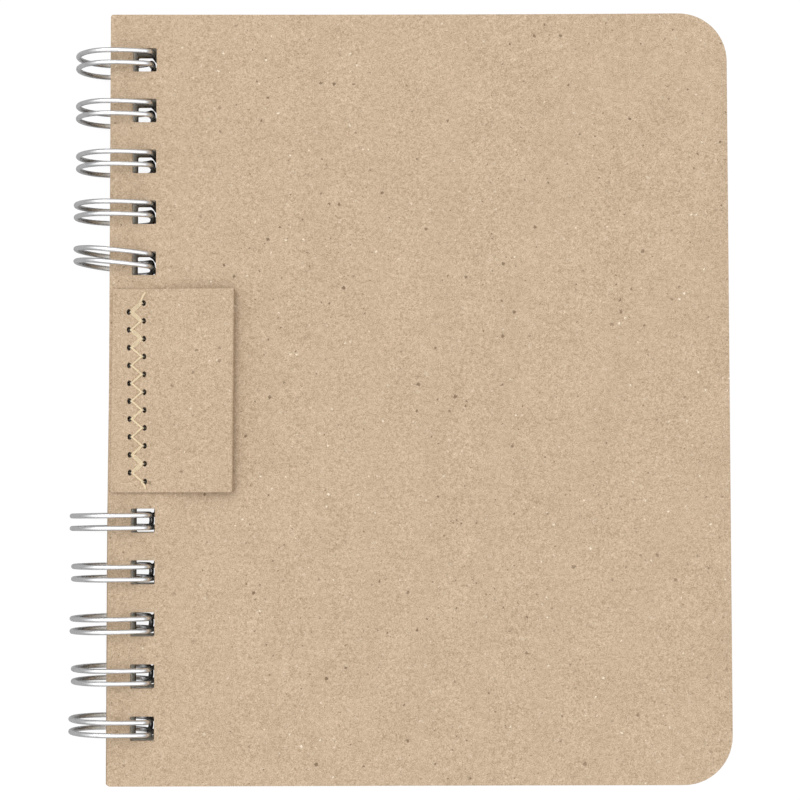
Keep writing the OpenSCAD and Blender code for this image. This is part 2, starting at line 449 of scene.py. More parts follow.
def make_board_fibres():
    """Recycled board: soft mottle, felted fibres, dark and light flecks, and cut edges in plies, darkened partly
    by their own tone and partly with painted shade.
    """
    tree, g, given, out = new_group(
        "board_fibres",
        [("Position", "NodeSocketVector", None), ("Edge", "NodeSocketFloat", 0.0),
         ("Body", "NodeSocketColor", None), ("Dark", "NodeSocketColor", None),
         ("Light", "NodeSocketColor", None), ("Flecks", "NodeSocketFloat", 1.0)],
        [("Colour", "NodeSocketColor"), ("Height", "NodeSocketFloat"), ("Roughness", "NodeSocketFloat")])
    flecks = given.outputs["Flecks"]
    at = g.scaled(given.outputs["Position"], 1 / MM)
    cloud = g.noise(at, 0.16, 4.0, 0.6).outputs["Fac"]
    felt = g.noise(at, 1.7, 5.0, 0.72, 0.4).outputs["Fac"]
    tooth = g.noise(at, 5.6, 3.0, 0.65).outputs["Fac"]
    warp = g.vector("SUBTRACT", g.noise(at, 1.6, 2.0).outputs["Color"], (0.5, 0.5, 0.5))
    bent = g.vector("ADD", at, g.scaled(warp, 0.7))
    strands = []
    for scale, shift in ((0.8, 0.0), (1.15, 37.0)):
        moved = g.vector("ADD", bent, (shift, shift, 0.0))
        field = g.noise(moved, scale, 1.0, 0.4, 0.9).outputs["Fac"]
        ridge = g.math("ABSOLUTE", g.math("SUBTRACT", field, 0.5))
        strands.append(g.ramp(ridge, 0.0, 0.02, 1.0, 0.0))
    patchy = g.ramp(g.noise(at, 0.9, 2.0).outputs["Fac"], 0.45, 0.62)
    pale_fibre = g.math("MULTIPLY", strands[0], patchy)
    dark_fibre = g.math("MULTIPLY", strands[1], g.math("SUBTRACT", 1.0, patchy))
    torn = g.vector("SUBTRACT", g.noise(at, 4.0, 2.0).outputs["Color"], (0.5, 0.5, 0.5))
    ragged = g.vector("ADD", at, g.scaled(torn, 0.55))
    dark = g.math("MAXIMUM", fleck_mask(g, ragged, 0.5, 0.32, 0.75), fleck_mask(g, ragged, 1.3, 0.17, 0.60))
    light = fleck_mask(g, g.vector("ADD", ragged, (11.0, 5.0, 2.0)), 1.0, 0.20, 0.42)
    tone = g.math("ADD", g.ramp(cloud, 0.3, 0.7, -0.03, 0.03), g.ramp(felt, 0.25, 0.75, -0.15, 0.15))
    tone = g.math("ADD", tone, g.ramp(tooth, 0.25, 0.75, -0.30, 0.30))
    ply = g.noise(g.vector("MULTIPLY", at, (0.35, 0.35, 9.0)), 1.0, 4.0, 0.7).outputs["Fac"]
    # Cut edges are darkened in plies: partly the board's own ply tone, partly painted shade on the upright faces.
    edge_plies_and_shade = g.math("MULTIPLY", g.ramp(ply, 0.3, 0.7, -0.40, -0.02), given.outputs["Edge"])
    tone = g.math("ADD", g.math("ADD", tone, edge_plies_and_shade), 1.0)
    # Browns that darken keep their hue only if blue falls faster than red.
    tint = g.node("ShaderNodeCombineColor", {0: tone, 1: g.math("POWER", tone, 1.12),
                                             2: g.math("POWER", tone, 1.31)}).outputs[0]
    colour = g.mix(1.0, given.outputs["Body"], tint, "MULTIPLY")
    colour = g.mix(g.math("MULTIPLY", pale_fibre, 0.22), colour, given.outputs["Light"])
    colour = g.mix(g.math("MULTIPLY", dark_fibre, 0.16), colour, given.outputs["Dark"])
    for mask, strength, fleck in ((light, 0.72, "Light"), (dark, 0.80, "Dark")):
        share = g.math("MULTIPLY", mask, g.math("MULTIPLY", flecks, strength))
        colour = g.mix(share, colour, given.outputs[fleck])
    height = g.math("ADD", g.math("MULTIPLY", felt, 0.5), g.math("MULTIPLY", tooth, 0.3))
    height = g.math("ADD", height, g.math("MULTIPLY", pale_fibre, 0.12))
    plies = g.math("MULTIPLY", ply, given.outputs["Edge"])
    height = g.math("ADD", height, g.math("MULTIPLY", plies, 0.8))
    g.feed(out.inputs["Colour"], colour)
    g.feed(out.inputs["Height"], height)
    g.feed(out.inputs["Roughness"], g.ramp(felt, 0.3, 0.7, 0.94, 0.82))
    return tree


def new_material(name):
    made = bpy.data.materials.new(name)
    made.use_nodes = True
    return made, Graph(made.node_tree), made.node_tree.nodes["Principled BSDF"]


def edge_mask(g):
    """1 where a face stands upright, so on the cut edges of a board or sheet."""
    upright = g.node("ShaderNodeSeparateXYZ", {0: g.node("ShaderNodeTexCoord").outputs["Normal"]})
    return g.ramp(g.math("ABSOLUTE", upright.outputs[2]), 0.35, 0.75, 1.0, 0.0)


def bump(g, height, strength, distance):
    relief = {"Height": height, "Strength": strength, "Distance": distance}
    return g.node("ShaderNodeBump", relief).outputs[0]


def with_alpha(colour, shade=1.0):
    """A colour for a socket, darkened by `shade`."""
    return (*(shade * channel for channel in colour), 1.0)


def board_material(name, group, flecks, shift=0.0):
    """Uncoated kraft board, cut from a place in the sheet that is `shift` metres along."""
    material, g, shader = new_material(name)
    c = colours()
    fibres = g.node("ShaderNodeGroup", node_tree=group)
    place = g.vector("ADD", g.node("ShaderNodeTexCoord").outputs["Object"], (shift, shift, 0.0))
    g.feed(fibres.inputs["Position"], place)
    g.feed(fibres.inputs["Edge"], edge_mask(g))
    g.feed(fibres.inputs["Body"], with_alpha(c.kraft))
    g.feed(fibres.inputs["Dark"], with_alpha(c.kraft_dark))
    g.feed(fibres.inputs["Light"], with_alpha(c.kraft_light))
    g.feed(fibres.inputs["Flecks"], flecks)
    # Painted shade: points in a needle hole get a near-black colour, standing in for the shade down in the hole.
    pierced = g.node("ShaderNodeAttribute", attribute_name="pierced").outputs["Fac"]
    needle_hole_shade = with_alpha(c.kraft_dark, 0.12)
    g.feed(shader.inputs["Base Color"], g.mix(pierced, fibres.outputs["Colour"], needle_hole_shade))
    g.feed(shader.inputs["Roughness"], fibres.outputs["Roughness"])
    g.feed(shader.inputs["Normal"], bump(g, fibres.outputs["Height"], 0.5, 0.05 * MM))
    shader.inputs["Specular IOR Level"].default_value = 0.25
    return material


def paper_material(group):
    """Sketch paper: the same felted fibres, pale, with no flecks to speak of."""
    material, g, shader = new_material("sketch_paper")
    c = colours()
    fibres = g.node("ShaderNodeGroup", node_tree=group)
    g.feed(fibres.inputs["Position"], g.node("ShaderNodeTexCoord").outputs["Object"])
    # Cut edges take half of the board's edge darkening, which is partly painted shade.
    g.feed(fibres.inputs["Edge"], g.math("MULTIPLY", edge_mask(g), 0.5))
    g.feed(fibres.inputs["Body"], with_alpha(c.paper))
    g.feed(fibres.inputs["Dark"], with_alpha(c.paper, 0.72))
    g.feed(fibres.inputs["Light"], (0.9, 0.89, 0.86, 1))
    g.feed(fibres.inputs["Flecks"], 0.15)
    softened = g.mix(0.45, fibres.outputs["Colour"], with_alpha(c.paper))
    g.feed(shader.inputs["Base Color"], softened)
    g.feed(shader.inputs["Roughness"], fibres.outputs["Roughness"])
    g.feed(shader.inputs["Normal"], bump(g, fibres.outputs["Height"], 0.35, 0.03 * MM))
    shader.inputs["Specular IOR Level"].default_value = 0.25
    return material


def wire_material():
    """Bright drawn steel: fine scratches along the wire, a few dull patches, and painted shade where it is down in
    its holes.
    """
    material, g, shader = new_material("binding_wire")
    at = g.scaled(g.node("ShaderNodeTexCoord").outputs["Object"], 1 / MM)
    drawn = g.noise(g.vector("MULTIPLY", at, (1.2, 14.0, 1.2)), 1.0, 4.0, 0.65).outputs["Fac"]
    dull = g.noise(at, 0.7, 3.0, 0.6).outputs["Fac"]
    steel = colours().steel
    bright = g.mix(g.ramp(dull, 0.45, 0.75), with_alpha(steel), with_alpha(steel, 0.82))
    # Painted shade: the wire's colour is darkened where it is down in its holes, standing in for the shade there.
    rim = BOOK.to_row @ Vector((5.2, 0, BOOK.stack - 0.2)) / MM
    place = g.node("ShaderNodeSeparateXYZ", {0: at})
    painted_hole_shade = g.math("MULTIPLY", g.ramp(place.outputs[0], rim.x - 0.4, rim.x + 0.4),
                     g.ramp(place.outputs[2], rim.z, rim.z - 0.9))
    g.feed(shader.inputs["Base Color"], g.mix(painted_hole_shade, bright, with_alpha(steel, 0.3)))
    g.feed(shader.inputs["Roughness"], g.math("ADD", g.ramp(dull, 0.3, 0.7, 0.22, 0.30),
                                              g.ramp(drawn, 0.4, 0.7, 0.0, 0.05)))
    g.feed(shader.inputs["Normal"], bump(g, drawn, 0.06, 0.006 * MM))
    shader.inputs["Metallic"].default_value = 1.0
    return material


def thread_material():
    """Undyed cotton: plies of fine filaments, with dust in the turns."""
    material, g, shader = new_material("seam_thread")
    at = g.scaled(g.node("ShaderNodeTexCoord").outputs["Object"], 1 / MM)
    lint = g.noise(at, 9.0, 4.0, 0.7).outputs["Fac"]
    patch = g.noise(at, 1.4, 2.0).outputs["Fac"]
    cotton = colours().thread
    share = g.math("ADD", g.ramp(lint, 0.35, 0.7, 0.0, 0.55), g.ramp(patch, 0.3, 0.7, 0.0, 0.25))
    g.feed(shader.inputs["Base Color"], g.mix(share, with_alpha(cotton), with_alpha(cotton, 0.72)))
    g.feed(shader.inputs["Roughness"], g.ramp(lint, 0.3, 0.7, 0.75, 0.95))
    g.feed(shader.inputs["Normal"], bump(g, lint, 0.4, 0.03 * MM))
    shader.inputs["Sheen Weight"].default_value = 0.3
    return material


def material(name):
    """A finish by name, made on first use."""
    if name in bpy.data.materials:
        return bpy.data.materials[name]
    group = bpy.data.node_groups.get("board_fibres") or make_board_fibres()
    makers = {
        "cover_kraft": lambda: board_material("cover_kraft", group, flecks=1.0),
        "strip_kraft": lambda: board_material("strip_kraft", group, flecks=0.7, shift=0.07),
        "sketch_paper": lambda: paper_material(group),
        "binding_wire": wire_material,
        "seam_thread": thread_material,
    }
    return makers[name]()


# ---- Covers and sheets ----


NEEDLE_HOLES = 21
NEEDLE_COLUMNS = (5.75, 3.28)  # the first needle holes of the seam's two columns, from the spine edge
NEEDLE_DRIFT = 0.016  # the seam runs a touch askew: each hole is this much further from the spine edge
NEEDLE_FIRST = 2.33  # from the pen loop's head end to the first needle hole
STRIP_UP = 0.12  # the pen loop's middle above the middle of the gap between the wires


def strip_middle():
    lower, upper = hole_rows()
    return (lower[-1] + upper[0]) / 2 + STRIP_UP


def seam_points():
    """The needle holes in the order that the thread takes them, head to foot, in millimetres."""
    s = sizes()
    top = strip_middle() + s.strip_height / 2 - NEEDLE_FIRST
    return [Vector((NEEDLE_COLUMNS[i % 2] + NEEDLE_DRIFT * i, top - i * s.stitch / 2, 0))
            for i in range(NEEDLE_HOLES)]


def cover_mesh(name, low, high, needle_holes):
    """A cover with its wire holes, cut across so that it can bend. The cuts start clear of the holes."""
    s = sizes()
    holes = wire_holes() + [oval_hole(p.x, p.y, 0.36, 0.36) for p in needle_holes]
    outline = leaf_outline(0, BOOK.width, BOOK.height, s.corner_radius)
    top = BOOK.height / 2
    return board_mesh(name, outline, holes, low, high, s.board_edge,
                      steps_between(10, BOOK.width, 6), steps_between(-top, top, 6.35))


def front_rise(x, y):
    """How far the loose front cover stands off flat: nothing at the spine, most at the head corner."""
    flat = 25  # from the spine edge, under the pen loop
    out = max(0.0, (x - flat) / (BOOK.width - flat))
    up = 0.5 + y / BOOK.height
    foot_share = 0.35
    return sizes().front_lift * out * out * (foot_share + (1 - foot_share) * up)


def make_front_cover():
    needles = seam_points()
    mesh = cover_mesh("front_cover_board", BOOK.front_z, BOOK.stack, needles)
    mark_pierced(mesh, lambda v: 0.03 < v.z - BOOK.front_z < BOOK.board - 0.03
                 and any((v.x - p.x) ** 2 + (v.y - p.y) ** 2 < 0.3 for p in needles))

    def settle(v):
        low = (BOOK.stack - v.z) / BOOK.board
        return Vector((v.x - edge_slant(v.x, v.y, low), v.y, v.z + front_rise(v.x, v.y)))

    bend_mesh(mesh, settle)
    finish_piece("front_cover_board", mesh, material("cover_kraft"), "front_cover")


def edge_slant(x, y, low):
    """How far the spine edge's underside (low = 1) leans out near the foot, where the die cut it out
    of square: nothing at 22 mm above the cover's middle, all of it at 30 mm below."""
    return 0.32 * low * smooth_step(y, 22, -30) * smooth_step(x, 0.4, 0.0)


def make_back_cover():
    mesh = cover_mesh("back_cover_board", 0, BOOK.board, [])
    finish_piece("back_cover_board", mesh, material("cover_kraft"), "back_cover")


def make_sheets():
    """Loose sheets: flat at the spine, eased apart and down to the back cover at the fore edge."""
    s = sizes()
    levels = BOOK.sheet_levels()
    air = 0.008  # between one sheet and the next at the spine
    thickness = abs(levels[0][1] - levels[1][1]) - air
    x0, x1 = 0.3, BOOK.width - 1.0  # a little inside the covers
    low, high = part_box("sheet_01")
    outline = leaf_outline(x0, x1, (high.y - low.y) / MM, s.corner_radius - 1, 8)
    base = board_mesh("sheet", outline, wire_holes(), 0, thickness, 0.0, steps_between(9, x1, 7), [])
    dice = random.Random(7)
    lowest = BOOK.board + 0.03
    step = (BOOK.front_z - 0.25 - lowest - thickness) / (len(levels) - 1)
    ease_from, ease_run = 8, BOOK.width - 30
    for i, (name, top) in enumerate(levels):
        mesh = base.copy()
        mesh.name = name + "_paper"
        near = top - thickness
        far = lowest + (len(levels) - 1 - i) * step
        slip_x, slip_y = dice.uniform(-0.12, 0.10), dice.uniform(-0.18, 0.18)
        skew = math.radians(dice.uniform(-0.06, 0.06))
        bow = dice.uniform(-0.012, 0.012)

        def settle(v):
            out = min(1.0, max(0.0, (v.x - ease_from) / ease_run))
            ease = out * out * (3 - 2 * out)
            return Vector((v.x + ease * slip_x - v.y * skew * 0.3,
                           v.y + ease * slip_y + v.x * skew * ease * 0.2,
                           near + (far - near) * ease + v.z + bow * math.sin(out * math.pi) * (v.y / 60)))

        bend_mesh(mesh, settle)
        finish_piece(name + "_paper", mesh, material("sketch_paper"), name)
    bpy.data.meshes.remove(base)


# ---- Wires ----


TIP_ANGLE = -31  # where a loop's U tip begins, in degrees round the ring
RISE_STEPS = 8
RISE_RADIUS = 40.0  # slow bow of a strand through its hole
BACK_BEND = 0.9  # where a strand turns into the wire's back, to the next loop
BACK_LIFT = 0.475  # the wire's back above the back cover's inner face
BACK_STUB = 1.2  # the wire's back past its last loops
SEAT_IN = 0.5  # how far the wire sits towards the fore edge in its holes

# Each loop from the foot up: how far it stands above the middle of its hole, at its round side and
# at the hole, and how far its round side is pressed in (mm).
SEATS = {
    "lower_wire": ((0.27, 0.05, -0.22), (0.0, 0.0, 0.14), (-0.24, -0.06, -0.12),
                   (-0.13, -0.10, 0.08), (-0.28, -0.15, -0.20)),
    "upper_wire": ((1.72, 0.50, 0.16), (0.56, 0.48, 0.16), (0.25, 0.34, 0.48),
                   (0.21, 0.20, 0.42), (0.10, 0.24, 0.42)),
}


def strand_outline():
    """A strand's middle line round the ring's centre: rise through the hole, shoulder, crown and round
    side. Also how far round the rise goes, and the level of the wire's back."""
    s = sizes()
    crown = (0, s.ring_radius - s.crown_radius)
    reach = s.crown_radius - s.shoulder_radius
    crown_end = math.degrees(math.acos((s.rise_x - s.shoulder_radius) / reach))
    shoulder = (s.rise_x - s.shoulder_radius, crown[1] + reach * math.sin(math.radians(crown_end)))
    rise = (s.rise_x + RISE_RADIUS, shoulder[1])
    back_z = BOOK.board + BACK_LIFT - BOOK.axis_z
    rise_end = math.degrees(math.asin((shoulder[1] - back_z) / math.hypot(RISE_RADIUS, BACK_BEND))
                            - math.atan(BACK_BEND / RISE_RADIUS))
    points = (arc_points(*rise, RISE_RADIUS, 180 + rise_end, 180, RISE_STEPS)
              + arc_points(*shoulder, s.shoulder_radius, 0, crown_end, 14)[1:]
              + arc_points(*crown, s.crown_radius, crown_end, 90, 8)[1:]
              + arc_points(0, 0, s.ring_radius, 90, 360 + TIP_ANGLE, 60)[1:])
    return points, rise_end, back_z


def turned(foot, way, y, radius, start, end, steps):
    """A bend in the plane of Y and the XZ direction `way`, in degrees."""
    w = math.radians(way)
    return [Vector((foot[0] + radius * math.cos(a) * math.cos(w), y + radius * math.sin(a),
                    foot[1] + radius * math.cos(a) * math.sin(w)))
            for a in (math.radians(start + (end - start) * k / steps) for k in range(steps + 1))]


def seat_loop(points, back_z, tip_up, hole_up, tip_in):
    """Moves one loop to its own seat: along the spine, and in or out at its round side."""
    ring_radius = sizes().ring_radius
    for p in points:
        clear = smooth_step(p.z, back_z, back_z + 2.5) if p.x > 0 else 1.0
        across = 0.5 - 0.5 * p.x / ring_radius
        p.y += clear * (hole_up + (tip_up - hole_up) * across)
        p.x += SEAT_IN * smooth_step(p.x, 0, 4.5)
        if p.z > 0:
            # The crown peaks over the cover's spine edge.
            p.z += 0.10 * math.exp(-abs(p.x - 1.4) / 0.9)
        p.x += tip_in * smooth_step(p.x, 0.0, -ring_radius)


def wire_points(rows, seats):
    """The middle line of one wire, foot to head, with a loop at each row."""
    outline, rise_end, back_z = strand_outline()
    foot, tip = outline[0], outline[-1]
    half = sizes().twin_gap / 2
    way = -90 + rise_end
    back_x = foot[0] + BACK_BEND * math.sin(math.radians(rise_end)) + SEAT_IN
    to_back = half + BACK_BEND
    points = [Vector((back_x, rows[0] - to_back - BACK_STUB, back_z))]
    for y, seat in zip(rows, seats):
        round_side = ([Vector((x, y - half, z)) for x, z in outline[1:]]
                      + turned(tip, 90 + TIP_ANGLE, y, half, -90, 90, 14)[1:]
                      + [Vector((x, y + half, z)) for x, z in reversed(outline)][1:])
        for p in round_side[RISE_STEPS:-RISE_STEPS]:
            # The round side ends against the wire's back.
            end_share = smooth_step(p.x, 1.5, 5.2) * smooth_step(p.z, -1.0, -2.0)
            p.x += 0.35 * end_share
            p.z -= 0.25 * end_share
        loop = (turned(foot, way, y - to_back, BACK_BEND, 0, 90, 8) + round_side
                + turned(foot, way, y + to_back, BACK_BEND, -90, 0, 8)[1:])
        seat_loop(loop, back_z, *seat)
        points += loop
    points.append(Vector((back_x, rows[-1] + to_back + BACK_STUB, back_z)))
    return [p + Vector((BOOK.axis_x, 0, BOOK.axis_z)) for p in points]


def make_wires():
    radius = sizes().wire_diameter / 2
    for name, rows in zip(("lower_wire", "upper_wire"), hole_rows()):
        points = wire_points(rows, SEATS[name])
        kept = [points[0]]
        for p in points[1:]:
            if (p - kept[-1]).length > 0.02:
                kept.append(p)
        mesh = tube_mesh(name + "_round", [[(p, radius) for p in kept]], 16)
        finish_piece(name + "_round", mesh, material("binding_wire"), name, 60)


# ---- Pen loop and its seam ----


STRIP_FROM_EDGE = 0.25  # the strip's lower layer starts this far from the spine edge
STRIP_NEEDLE = (0.33, 0.48)  # half width and half height of a needle hole pulled open by its thread


class StripPath:
    """The folded strip's middle line in XZ: lower layer, pressed fold, and an upper layer that comes
    down to the seam in a gentle S."""

    def __init__(self):
        s = sizes()
        t = s.strip_thickness
        self.start = STRIP_FROM_EDGE
        self.fold_out = 0.24
        self.fold_up = (t + s.tunnel) / 2
        self.fold_x = self.start + s.strip_width - t / 2 - self.fold_out
        self.low_z = t / 2
        self.lift_x, self.lift_run = 7.6, 7.0
        self.run = self.fold_x - self.start
        self.turn = math.pi * math.sqrt((self.fold_out ** 2 + self.fold_up ** 2) / 2)
        self.upper = self.run + self.turn
        self.length = self.upper + self.run

    def at(self, u):
        """Point and outward normal at length u from the lower layer's spine end."""
        if u < self.run:
            return Vector((self.start + u, 0, self.low_z)), Vector((0, 0, -1))
        if u < self.upper:
            a = math.pi * (u - self.run) / self.turn
            place = Vector((self.fold_out * math.sin(a), 0, self.fold_up * (1 - math.cos(a))))
            out = Vector((self.fold_up * math.sin(a), 0, -self.fold_out * math.cos(a)))
            return Vector((self.fold_x, 0, self.low_z)) + place, out.normalized()
        x = self.fold_x - (u - self.upper)
        t = min(1.0, max(0.0, (x - self.lift_x) / self.lift_run))
        gap = sizes().tunnel
        z = self.low_z + sizes().strip_thickness + gap * (1 - math.cos(math.pi * t)) / 2
        slope = gap * math.pi / self.lift_run * math.sin(math.pi * t) / 2
        return Vector((x, 0, z)), Vector((-slope, 0, 1)).normalized()

    def top_u(self, x):
        """Length at which the upper layer is x from the spine edge."""
        return self.upper + self.fold_x - x


def make_pen_loop():
    s = sizes()
    path = StripPath()
    middle = strip_middle()
    half = s.strip_height / 2
    t = s.strip_thickness
    needles = seam_points()
    centres = ([(path.top_u(p.x), p.y - middle) for p in needles]
               + [(p.x - path.start, p.y - middle) for p in needles])
    seam_u = path.top_u(6.8)
    cuts = (steps_between(0, path.run, 4) + steps_between(path.run - 0.2, path.upper + 0.2, 0.12)
            + steps_between(path.upper, seam_u, 0.6) + steps_between(seam_u, path.length - 0.2, 0.28))
    mesh = board_mesh("pen_loop_strip", [(0, -half), (path.length, -half), (path.length, half), (0, half)],
                      [oval_hole(u, y, *STRIP_NEEDLE) for u, y in centres], 0, t, 0.05, cuts,
                      steps_between(-half, half, 0.55))
    mark_pierced(mesh, lambda v: 0.02 < v.z < t - 0.02 and any(
        (v.x - u) ** 2 + ((v.y - y) * 0.7) ** 2 < 0.14 for u, y in centres))

    def pucker(x, y):
        """Each needle hole pulls the board down round it, and its rim stands up a little."""
        rise = 0.0
        for p in needles:
            away = math.hypot(x - p.x, y - p.y)
            if away < 1.6:
                rise += 0.05 * (math.exp(-((away - 0.55) / 0.16) ** 2) - math.exp(-away ** 2 / 0.4))
        return rise

    def fold(v):
        point, out = path.at(v.x)
        y = v.y + middle
        up = 0.5 + v.y / s.strip_height
        # The strip was sewn on a touch askew: both its ends stand further in at the head.
        point.x += (0.16 + 0.28 * up) * smooth_step(point.x, 2.6, path.start)
        crest = 0.22 * smooth_step(point.x, path.fold_x - 1.4, path.fold_x + 0.2)
        point.z += crest * min(1.0, (point.z - path.low_z) / (2 * path.fold_up))
        point.x += (0.20 + 0.20 * up) * smooth_step(point.x, 10, path.fold_x)
        if v.x > path.upper:
            point.z += pucker(point.x, y)
            swell = math.sin(math.pi * min(1, max(0, (point.x - 8) / 13)))
            point.z += 0.08 * swell * (1 - (v.y / half) ** 2)
        place = point + (v.z - t / 2) * out
        return Vector((place.x, y, place.z + BOOK.stack + front_rise(place.x, y)))

    bend_mesh(mesh, fold)
    finish_piece("pen_loop_strip", mesh, material("strip_kraft"), "pen_loop")


def stitch_line(needles, level, deep, inward):
    """One thread's middle line: runs at `level`, and a loop down to `deep` at each needle hole.
    The runs stop `inward` short of the holes' middles, on the seam's inner side."""
    middle_x = (needles[0].x + needles[1].x) / 2
    points = []
    for p in needles:
        side = 1 if p.x > middle_x else -1
        rim = Vector((p.x - side * inward, p.y, level))
        halfway = Vector((p.x - side * inward * 0.7, p.y, (level + deep) / 2))
        points += [rim + Vector((-side * 0.10, 0.10, 0)), rim + Vector((0, 0.07, -0.03)), halfway,
                   Vector((p.x - side * inward * 0.6, p.y, deep)), halfway,
                   rim + Vector((0, -0.07, -0.03)), rim + Vector((-side * 0.10, -0.10, 0))]
    return points


def smooth_line(points, spacing):
    """Closely spaced points along a Catmull-Rom curve."""
    dense = []
    for i in range(len(points) - 1):
        p0, p1 = points[max(i - 1, 0)], points[i]
        p2, p3 = points[i + 1], points[min(i + 2, len(points) - 1)]
        steps = max(2, int((p2 - p1).length / spacing))
        for k in range(steps):
            t = k / steps
            dense.append(0.5 * ((2 * p1) + (p2 - p0) * t + (2 * p0 - 5 * p1 + 4 * p2 - p3) * t * t
                                + (3 * p1 - p0 - 3 * p2 + p3) * t ** 3))
    dense.append(points[-1])
    return dense


PLIES = 4
LAY = 1.3  # length of one turn of the plies (mm)


def plied(points, ply, flatness):
    """Plies along a line: wound round each other, or laid side by side where flatness is 1."""
    runs = [[] for _ in range(PLIES)]
    walked = 0.0
    for i, p in enumerate(points):
        ahead = (points[min(i + 1, len(points) - 1)] - points[max(i - 1, 0)]).normalized()
        if i:
            walked += (p - points[i - 1]).length
        across = ahead.cross(Vector((0, 0, 1)))
        across = across.normalized() if across.length > 0.05 else Vector((1, 0, 0))
        over = across.cross(ahead).normalized()
        flat = flatness(p)
        for k in range(PLIES):
            a = TAU * (walked / LAY + k / PLIES)
            wound = across * math.cos(a) * ply * 0.62 + over * math.sin(a) * ply * 0.62
            beside = across * (k - (PLIES - 1) / 2) * ply * 1.12 + over * ply * (0.10 * math.sin(a) - 0.35)
            runs[k].append((p + wound.lerp(beside, flat), ply * 0.5))
    return runs


# Stitches, counted from the head, whose plies lie spread out, and how flat (1 is side by side).
SPREAD = {0: 1.0, 1: 1.0, 3: 1.0, 4: 1.0, 12: 0.5, 16: 0.5, 17: 1.0, 18: 1.0}


def make_seam():
    s = sizes()
    needles = seam_points()

    def flatness(p):
        k = min(range(len(needles) - 1), key=lambda i: abs((needles[i].y + needles[i + 1].y) / 2 - p.y))
        a, b = needles[k], needles[k + 1]
        along = min(1.0, max(0.0, (a.x - p.x) / (a.x - b.x)))
        return SPREAD.get(k, 0.0) * smooth_step(0.5 - abs(along - 0.5), 0.16, 0.30)

    top = BOOK.stack + 2 * s.strip_thickness + 0.13
    line = stitch_line(needles, top, BOOK.stack + 0.25, 0.42)
    # Loose ends past the first and the last needle hole.
    head = [needles[0] + Vector((0.30, 1.75, top + 0.05)), needles[0] + Vector((-0.15, 1.05, top + 0.02))]
    tail = [needles[-1] + Vector((-0.10, -0.55, top)), needles[-1] + Vector((0.12, -1.25, top + 0.03))]
    line = smooth_line(head + line + tail, 0.06)
    mesh = tube_mesh("needle_thread_plies", plied(line, s.ply, flatness), 7)
    finish_piece("needle_thread_plies", mesh, material("seam_thread"), "needle_thread", 60)
    line = smooth_line(stitch_line(needles, BOOK.front_z + 0.15, BOOK.stack - 0.15, 0.1), 0.08)
    mesh = tube_mesh("bobbin_thread_plies", plied(line, s.ply * 0.8, lambda p: 0.0), 6)
    finish_piece("bobbin_thread_plies", mesh, material("seam_thread"), "bobbin_thread", 60)


# ---- Floor, light and camera ----


def floor_material():
    """Plain white studio table, bright enough to read as white where nothing shades it."""
    material, g, shader = new_material("studio_table")
    nodes = material.node_tree.nodes
    nodes.remove(shader)
    grain = g.noise(g.node("ShaderNodeTexCoord").outputs["Object"], 6.0, 2.0).outputs["Fac"]
    white = g.mix(g.ramp(grain, 0.3, 0.7), (0.86, 0.86, 0.86, 1), (0.88, 0.88, 0.88, 1))
    path = g.node("ShaderNodeLightPath")
    # Polished wire would mirror the whole white table; the table turns grey to glossy rays only, a painted
    # reflection that keeps the wire's mirrored surroundings grey.
    grey_to_reflections = g.mix(path.outputs["Is Glossy Ray"], white, (0.42, 0.42, 0.42, 1))
    matt = g.node("ShaderNodeBsdfDiffuse", {"Color": grey_to_reflections})
    glow = g.node("ShaderNodeEmission", {"Color": (1, 1, 1, 1), "Strength": 1.04})
    seen = g.math("MULTIPLY", path.outputs["Is Camera Ray"], 0.90)
    both = g.node("ShaderNodeMixShader", {0: seen, 1: matt.outputs[0], 2: glow.outputs[0]})
    g.feed(nodes["Material Output"].inputs["Surface"], both.outputs[0])
    return material


def make_table():
    reach = 3.0
    mesh = bpy.data.meshes.new("studio_table")
    level = CAD_BOX[0][2]
    mesh.from_pydata([(x * reach, y * reach, level) for x, y in ((-1, -1), (1, -1), (1, 1), (-1, 1))], [],
                     [(0, 1, 2, 3)])
    mesh.materials.append(floor_material())
    table = bpy.data.objects.new("studio_table", mesh)
    bpy.context.scene.collection.objects.link(table)


def make_softbox(name, place, size, power):
    """A round soft light aimed at the middle of the table."""
    light = bpy.data.lights.new(name, "AREA")
    light.shape = "DISK"
    light.size = size
    light.energy = power
    lamp = bpy.data.objects.new(name, light)
    lamp.location = place
    lamp.rotation_euler = (-Vector(place)).to_track_quat("-Z", "Y").to_euler()
    bpy.context.scene.collection.objects.link(lamp)


def make_world():
    """Even white light, graded from the horizon up only where the wire mirrors it."""
    world = bpy.data.worlds.new("studio")
    world.use_nodes = True
    g = Graph(world.node_tree)
    ray = g.node("ShaderNodeTexCoord").outputs["Generated"]
    upward = g.node("ShaderNodeSeparateXYZ", {0: ray}).outputs[2]
    graded = g.node("ShaderNodeCombineColor", {k: g.ramp(upward, 0.1, 0.9, 0.5, 1.5) for k in range(3)})
    mirrored = g.node("ShaderNodeLightPath").outputs["Is Glossy Ray"]
    background = world.node_tree.nodes["Background"]
    g.feed(background.inputs["Color"], g.mix(mirrored, (1, 1, 1, 1), graded.outputs[0]))
    background.inputs["Strength"].default_value = 0.88
    bpy.context.scene.world = world


